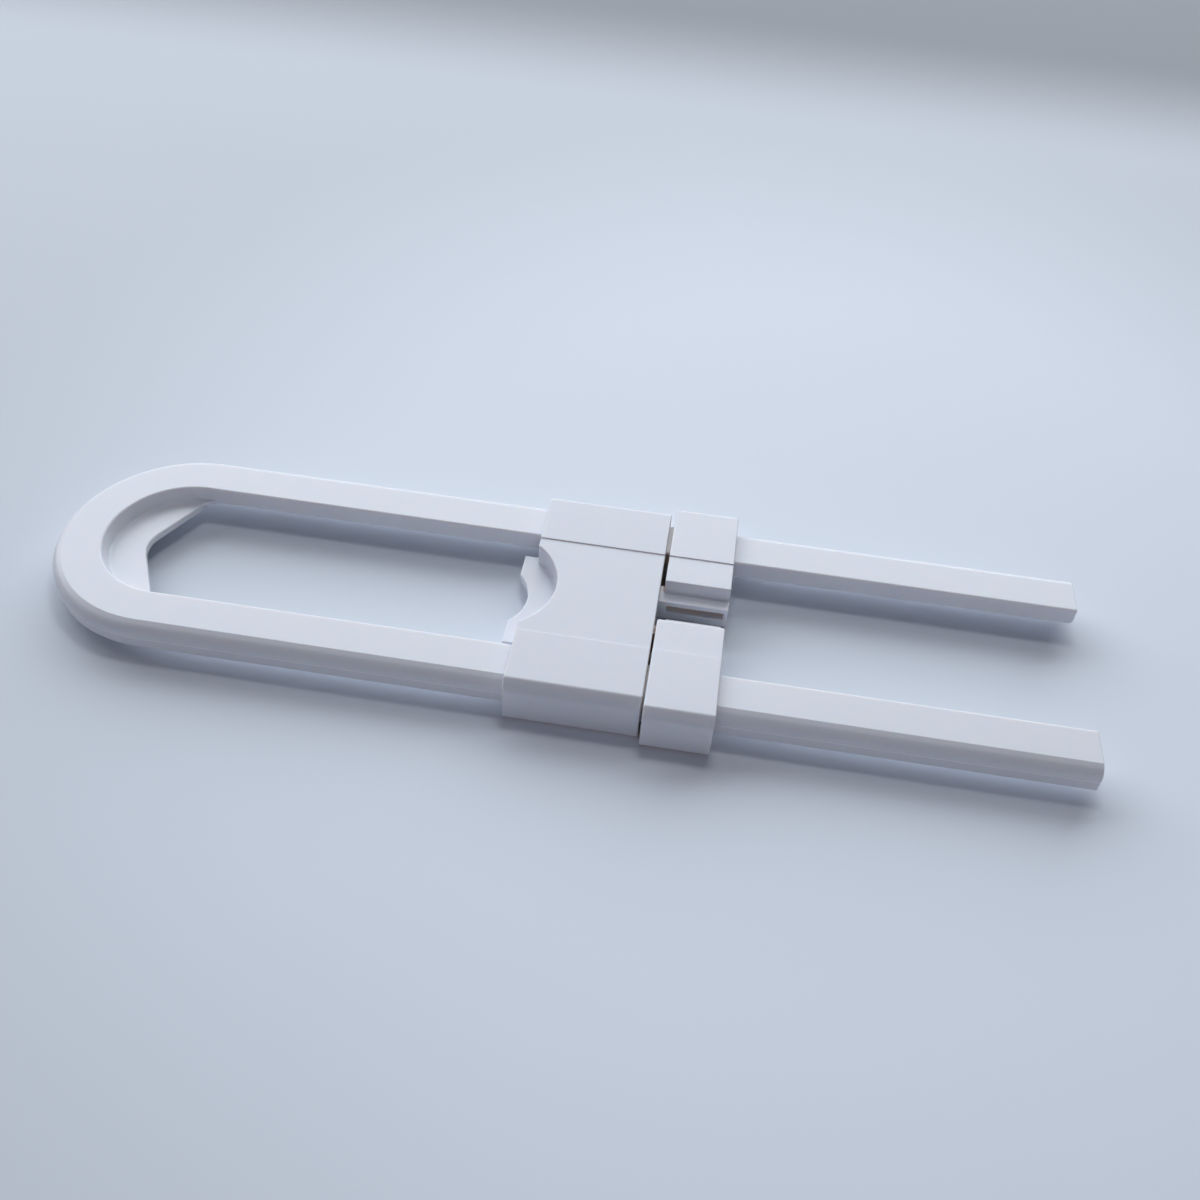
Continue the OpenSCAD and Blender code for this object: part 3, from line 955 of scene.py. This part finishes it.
        start = graph.add("ShaderNodeCombineXYZ", {"X": given["Rack start"]})
        step = graph.add("ShaderNodeCombineXYZ", {"X": given["Tooth pitch"]})
        places = graph.add(
            "GeometryNodeMeshLine",
            {"Count": given["Teeth"], "Start Location": start.outputs[0], "Offset": step.outputs[0]},
        )
        teeth = graph.add(
            "GeometryNodeInstanceOnPoints", {"Points": places.outputs["Mesh"], "Instance": shape_of("Tooth")}
        )
        rack = graph.add("GeometryNodeRealizeInstances", {"Geometry": teeth.outputs["Instances"]})
        other = graph.add(
            "GeometryNodeTransform", {"Geometry": rack.outputs["Geometry"], "Scale": (1.0, -1.0, 1.0)}
        )
        turned = graph.add("GeometryNodeFlipFaces", {"Mesh": other.outputs["Geometry"]})
        solids = [
            sweep(given["Geometry"], shape_of("Section")),
            sweep(shape_of("Wall path"), shape_of("Wall section")),
            shape_of("Web"),
            rack.outputs["Geometry"],
            turned.outputs["Mesh"],
        ]
        union = graph.add("GeometryNodeMeshBoolean", operation="UNION", solver="MANIFOLD")
        for solid in solids:
            graph.tree.links.new(solid, union.inputs["Mesh 2"])
        graph.close(union.outputs["Mesh"], given["Finish"])
        return graph.tree

    def build(self) -> bpy.types.Object:
        """Builds, dresses and places the bar.

        Returns:
            The finished piece.
        """
        made = self.path()
        self.helpers = [self.section(), self.wall_path(), self.wall_section(), self.web(), self.tooth()]
        rack_start = self.bend_x + self.rack_margin
        teeth = int((self.length / 2 - self.end_lean - self.rack_margin - rack_start) // self.tooth_pitch)
        values = [*self.helpers, self.tooth_pitch * MM, teeth, rack_start * MM, self.finish.material()]
        apply_tree(made, self.tree(), values)
        remove_helpers(self.helpers)
        self.lean_ends(made)
        soften(made, self.end_radius, self.end_weight)
        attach(made, "bar")
        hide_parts("shackle")
        return made

    def lean_ends(self, made: bpy.types.Object) -> None:
        """Leans the free ends outwards from top to bottom.

        Args:
            made: The bar, whose mesh is changed.
        """
        for vertex in made.data.vertices:
            if vertex.co.x > (self.length / 2 - 0.01) * MM:
                rise = (vertex.co.z / MM - self.top + self.arm_height) / self.arm_height
                vertex.co.x -= self.end_lean * rise * MM

    def end_weight(self, edge: bmesh.types.BMEdge) -> float:
        """Gives the share of the end radius for an edge.

        Args:
            edge: An edge of the bar.

        Returns:
            All of it under the cap at a free end, little elsewhere round an end, none on the rest.
        """
        if min(v.co.x for v in edge.verts) < (self.length / 2 - self.end_lean - 0.1) * MM:
            return 0.0
        sides = [face.normal for face in edge.link_faces if abs(face.normal.x) < 0.5]
        if len(sides) != 1:
            return 0.0
        low = edge.verts[0].co.z < (self.top - self.cap_height - 0.3) * MM
        least = self.edge_radius / self.end_radius
        return least if low else least + (1 - least) * max(0.0, -sides[0].z)


@dataclass(frozen=True)
class OuterRound:
    """The round that the housing and the buttons have above their outer sides."""

    outer: float
    top: float = 9.45
    width: float = 1.6
    crease: float = 30.0
    ceiling: float = 8.02
    steps: int = 10

    @property
    def radius(self) -> float:
        """The round's radius, from its width and the angle of its crease."""
        return self.width / (1 - math.sin(math.radians(self.crease)))

    @property
    def centre_z(self) -> float:
        """Height of the round's centre, where it meets the upright side."""
        return self.top - self.radius * math.cos(math.radians(self.crease))

    def apply(self, made: bpy.types.Object) -> None:
        """Cuts the outer sides level by level and puts each level on the round.

        Args:
            made: The object, whose mesh is changed.
        """
        shape = bmesh.new()
        shape.from_mesh(made.data)
        for k in range(1, self.steps + 1):
            angle = math.radians(self.crease + (90 - self.crease) * k / self.steps)
            level = Vector((0, 0, self.centre_z + self.radius * math.cos(angle))) * MM
            everything = [*shape.verts, *shape.edges, *shape.faces]
            bmesh.ops.bisect_plane(shape, geom=everything, dist=1e-7, plane_co=level, plane_no=(0, 0, 1))
        for vertex in shape.verts:
            height = vertex.co.z / MM - self.centre_z
            inner = self.outer - (self.width + 0.05 if vertex.co.z > self.ceiling * MM else 0.5)
            if height > 0 and abs(vertex.co.y) > inner * MM:
                sine = math.sqrt(max(0.0, 1 - (height / self.radius) ** 2))
                place = (self.outer - self.radius * (1 - sine)) * MM
                vertex.co.y = math.copysign(place, vertex.co.y)
        shape.to_mesh(made.data)
        shape.free()


@dataclass(frozen=True)
class UprightCorner:
    """A round upright corner at a moulding's back end that is made tighter."""

    centre: Point
    x_way: int
    radius: float = 1.1
    tighter: float = 0.45

    def apply(self, made: bpy.types.Object) -> None:
        """Moves the corner's vertices to the smaller radius, tangent to the same two sides.

        Args:
            made: The object, whose mesh is changed.
        """
        centre = Vector(self.centre) * MM
        shift = Vector((self.x_way, 1)) * (self.radius - self.tighter) * MM
        slack = 0.01 * MM
        for vertex in made.data.vertices:
            arm = vertex.co.xy - centre
            on_arc = abs(arm.length - self.radius * MM) < slack
            if on_arc and arm.y > -slack and arm.x * self.x_way > -slack:
                vertex.co.xy = centre + shift + arm.normalized() * self.tighter * MM


@dataclass
class Moulding:
    """A moulded piece that keeps its CAD shape and gets the small radii that its tool left."""

    node: str
    name: str
    body: str
    slot: str
    finish: Finish
    edge_radius: float = 0.2
    step_edges: tuple[float, ...] = ()
    cuts: tuple[tuple[Axis, float], ...] = ()
    outer_round: OuterRound | None = None
    corners: tuple[UprightCorner, ...] = ()
    panel: float = 9.1
    panel_lift: float = 0.13

    def weight(self, outer: OpenEdges, edge: bmesh.types.BMEdge) -> float:
        """The share of the edge radius for one edge.

        Args:
            outer: The finder of outer edges.
            edge: The edge.

        Returns:
            Full, fine along the sunk panel's steps, or none.
        """
        full = outer.weight(edge)
        if full == EdgeKind.SHARP.value:
            return full
        middle = (edge.verts[0].co + edge.verts[1].co) / 2
        beside = any(abs(abs(middle.y) - y * MM) < 0.02 * MM for y in self.step_edges)
        return EdgeKind.FINE.value if beside and middle.z > 9.0 * MM else full

    def build(self) -> bpy.types.Object:
        """Builds, dresses and places the piece.

        Returns:
            The finished piece.
        """
        made = merged_copy(self.node, self.name, self.cuts)
        if self.outer_round is not None:
            self.outer_round.apply(made)
            self.lift_panel(made)
        for corner in self.corners:
            corner.apply(made)
        outer = OpenEdges(made)
        soften(made, self.edge_radius, lambda edge: self.weight(outer, edge))
        made.data.materials.clear()
        made.data.materials.append(self.finish.material())
        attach(made, self.body)
        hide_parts(self.node)
        return made

    def lift_panel(self, made: bpy.types.Object) -> None:
        """Makes the sunk panel's step as fine as the photograph's.

        Args:
            made: The object, whose mesh is changed.
        """
        for vertex in made.data.vertices:
            if abs(vertex.co.z - self.panel * MM) < 0.01 * MM:
                vertex.co.z += self.panel_lift * MM


@dataclass
class CoilSpring:
    """A coil spring between the centre rib and one slider block, with closed end turns."""

    side: Side
    x: float = 6.3
    z: float = 4.7
    radius: float = 1.4
    wire: float = 0.4
    start: float = 0.9
    length: float = 8.35
    travel: float = 1.9
    turns: float = 9.0
    finish: Finish = SPRING_WIRE

    def tree(self) -> bpy.types.GeometryNodeTree:
        """Builds the geometry tree: a helix with closed ends, swept with the wire's section.

        Returns:
            The tree, with the spring's sizes as its inputs.
        """
        sizes = dict.fromkeys(("Turns", "Coil radius", "Wire radius", "Length"), "Float")
        rest = {"Centre": "Vector", "Turn to axis": "Vector", "Finish": "Material"}
        graph = geometry_tree("Coil spring", {**sizes, **rest})
        given = graph.add("NodeGroupInput").outputs
        helix = graph.add(
            "GeometryNodeCurveSpiral",
            {
                "Resolution": 32,
                "Rotations": given["Turns"],
                "Start Radius": given["Coil radius"],
                "End Radius": given["Coil radius"],
                "Height": given["Length"],
            },
        )
        along = graph.add("GeometryNodeSplineParameter").outputs["Factor"]
        place = graph.add("GeometryNodeInputPosition").outputs[0]
        parts = graph.add("ShaderNodeSeparateXYZ", {"Vector": place}).outputs
        eased = graph.add("ShaderNodeMapRange", {"Value": along}, interpolation_type="SMOOTHERSTEP")
        shares = {"Factor": 0.35, "A": along, "B": eased.outputs["Result"]}
        blend = graph.add("ShaderNodeMix", shares).outputs["Result"]
        height = graph.math("MULTIPLY", blend, given["Length"])
        moved = graph.add("ShaderNodeCombineXYZ", {"X": parts[0], "Y": parts[1], "Z": height})
        closed = graph.add(
            "GeometryNodeSetPosition", {"Geometry": helix.outputs["Curve"], "Position": moved.outputs[0]}
        )
        ring = {"Resolution": 14, "Radius": given["Wire radius"]}
        wire = graph.add("GeometryNodeCurvePrimitiveCircle", ring)
        swept = graph.add(
            "GeometryNodeCurveToMesh",
            {"Curve": closed.outputs["Geometry"], "Profile Curve": wire.outputs["Curve"], "Fill Caps": True},
        )
        seat = {"Translation": given["Centre"], "Rotation": given["Turn to axis"]}
        placed = graph.add("GeometryNodeTransform", {"Geometry": swept.outputs["Mesh"], **seat})
        graph.close(placed.outputs["Geometry"], given["Finish"])
        return graph.tree

    def build(self) -> bpy.types.Object:
        """Builds, dresses and places the spring.

        Returns:
            The finished piece.
        """
        word = self.side.name.lower()
        made = helper_object(f"{word}_coil", bpy.data.meshes.new(f"{word}_coil"))
        made.hide_render = False
        sign = self.side.value
        values = [
            self.turns,
            self.radius * MM,
            self.wire / 2 * MM,
            (self.length - self.wire) * MM,
            Vector((self.x, sign * (self.start + self.wire / 2), self.z)) * MM,
            (math.radians(-90 * sign), 0.0, 0.0),
            self.finish.material(),
        ]
        apply_tree(made, self.tree(), values)
        made.data.shade_smooth()
        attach(made, "housing")
        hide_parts(f"{word}_spring")
        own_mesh(made)
        return made


@dataclass(frozen=True)
class Softbox:
    """A rectangular area lamp that points at the lock."""

    name: str
    place: tuple[float, float, float]
    size: Point
    power: float
    colour: Colour = (1.0, 1.0, 1.0)

    def build(self) -> None:
        """Adds the lamp to the scene."""
        lamp = bpy.data.lights.new(self.name, "AREA")
        lamp.shape = "RECTANGLE"
        lamp.size = self.size[0] * MM
        lamp.size_y = self.size[1] * MM
        lamp.energy = self.power
        lamp.color = self.colour
        made = bpy.data.objects.new(self.name, lamp)
        made.location = Vector(self.place) * MM
        made.rotation_mode = "QUATERNION"
        made.rotation_quaternion = (-Vector(self.place)).to_track_quat("-Z", "Y")
        bpy.context.scene.collection.objects.link(made)


@dataclass
class Studio:
    """The floor, the lamps, the world and the camera at the photograph's viewing angle."""

    floor_reach: float = 1500.0
    camera_place: tuple[float, float, float] = (21.77, -154.50, 167.20)
    camera_turn: tuple[float, float, float] = (44.022, -3.024, 8.491)
    lens: float = 36.22
    sensor: float = 36.0
    world_colour: Colour = (0.86, 0.83, 1.0)
    world_strength: float = 0.055
    backdrop_colour: Colour = (0.36, 0.40, 0.47)
    lamps: tuple[Softbox, ...] = (
        Softbox("Window", (-800.0, 2200.0, 1500.0), (6400.0, 2300.0), 143.0, (0.89, 0.94, 1.0)),
        Softbox("Card in front", (60.0, -1200.0, 560.0), (1500.0, 700.0), 2.1, (0.9, 0.87, 1.0)),
        Softbox("Lamp above", (20.0, 120.0, 420.0), (120.0, 60.0), 0.25, (0.95, 0.98, 1.0)),
    )

    def floor(self) -> None:
        """Adds the pale floor under the lock."""
        reach = self.floor_reach
        mesh = bpy.data.meshes.new("Floor")
        outline = ((-reach, -reach), (reach, -reach), (reach, reach), (-reach, reach))
        corners = [Vector((x, y, 0)) * MM for x, y in outline]
        mesh.from_pydata(corners, [], [(0, 1, 2, 3)])
        mesh.materials.append(FLOOR_FINISH.material())
        made = bpy.data.objects.new("Floor", mesh)
        bpy.context.scene.collection.objects.link(made)
        made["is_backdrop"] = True

    def world(self) -> None:
        """Sets the even light from all round and the pale backdrop that the camera and reflections see."""
        world = bpy.data.worlds.new("Even light")
        world.use_nodes = True
        tree = world.node_tree
        graph = Graph(tree)
        light = tree.nodes["Background"]
        light.inputs["Color"].default_value = (*self.world_colour, 1)
        light.inputs["Strength"].default_value = self.world_strength
        backdrop = graph.add("ShaderNodeBackground", {"Color": (*self.backdrop_colour, 1)})
        rays = graph.add("ShaderNodeLightPath").outputs
        seen = graph.math("MAXIMUM", rays["Is Camera Ray"], rays["Is Glossy Ray"])
        share = graph.math("MAXIMUM", seen, rays["Is Transmission Ray"])
        sources = {"Fac": share, 1: light.outputs["Background"], 2: backdrop.outputs["Background"]}
        mixed = graph.add("ShaderNodeMixShader", sources)
        tree.links.new(mixed.outputs["Shader"], tree.nodes["World Output"].inputs["Surface"])
        bpy.context.scene.world = world

    def camera(self) -> None:
        """Places the camera where the photograph was taken from."""
        lens = bpy.data.cameras.new("Camera")
        lens.lens = self.lens
        lens.sensor_width = self.sensor
        lens.clip_start = 0.01
        made = bpy.data.objects.new("Camera", lens)
        made.location = Vector(self.camera_place) * MM
        made.rotation_euler = Euler([math.radians(turn) for turn in self.camera_turn], "XYZ")
        bpy.context.scene.collection.objects.link(made)
        bpy.context.scene.camera = made

    def build(self) -> None:
        """Builds the whole set."""
        self.floor()
        self.world()
        self.camera()
        for lamp in self.lamps:
            lamp.build()
        bpy.context.scene.view_settings.view_transform = "Standard"


def pieces() -> list[Bar | Moulding | CoilSpring]:
    """Lists the lock's seven pieces.

    Returns:
        The pieces, in the order of their making.
    """
    step = (12.05,)
    channels = ((Axis.Y, -18.9), (Axis.Y, 18.9))
    front_holes = ((Axis.Y, -19.8), (Axis.Y, -9.7), (Axis.X, 6.47))
    back_holes = ((Axis.Y, 19.8), (Axis.Y, 9.7), (Axis.X, 6.47), (Axis.X, 24.85))
    return [
        Bar(),
        Moulding(
            "housing",
            "housing_shell",
            "housing",
            "housing_plastic",
            HOUSING_PLASTIC,
            step_edges=step,
            cuts=channels,
            outer_round=OuterRound(24.95),
        ),
        Moulding("base_plate", "housing_floor", "housing", "base_plastic", BASE_PLASTIC, 0.12),
        Moulding(
            "front_button",
            "front_squeeze_button",
            "front_button",
            "button_plastic",
            BUTTON_PLASTIC,
            step_edges=step,
            cuts=front_holes,
            outer_round=OuterRound(26.7),
            corners=(UprightCorner((19.4, -5.7), -1), UprightCorner((29.5, -5.7), 1)),
        ),
        Moulding(
            "back_button",
            "back_squeeze_button",
            "back_button",
            "button_plastic",
            BUTTON_PLASTIC,
            step_edges=step,
            cuts=back_holes,
            outer_round=OuterRound(26.7),
        ),
        CoilSpring(Side.FRONT),
        CoilSpring(Side.BACK),
    ]


def write_sizes(cad_box: tuple[Vector, Vector]) -> None:
    """Gathers the CAD box and the visual model's box into a table that is not kept.

    Args:
        cad_box: The box from straight after loading.
    """
    boxes = {"cad": cad_box, "visual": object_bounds()}
    {name: [list(corner) for corner in box] for name, box in boxes.items()}


def main() -> None:
    """Builds the set and every piece, in order."""
    logging.basicConfig(level=logging.INFO, format="%(name)s: %(message)s")
    cad_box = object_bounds()
    Studio().build()
    for piece in pieces():
        made = piece.build()
        made.data.calc_loop_triangles()
        log.info("%s has %d triangles", made.name, len(made.data.loop_triangles))
    write_sizes(cad_box)


if __name__ == "__main__":
    main()
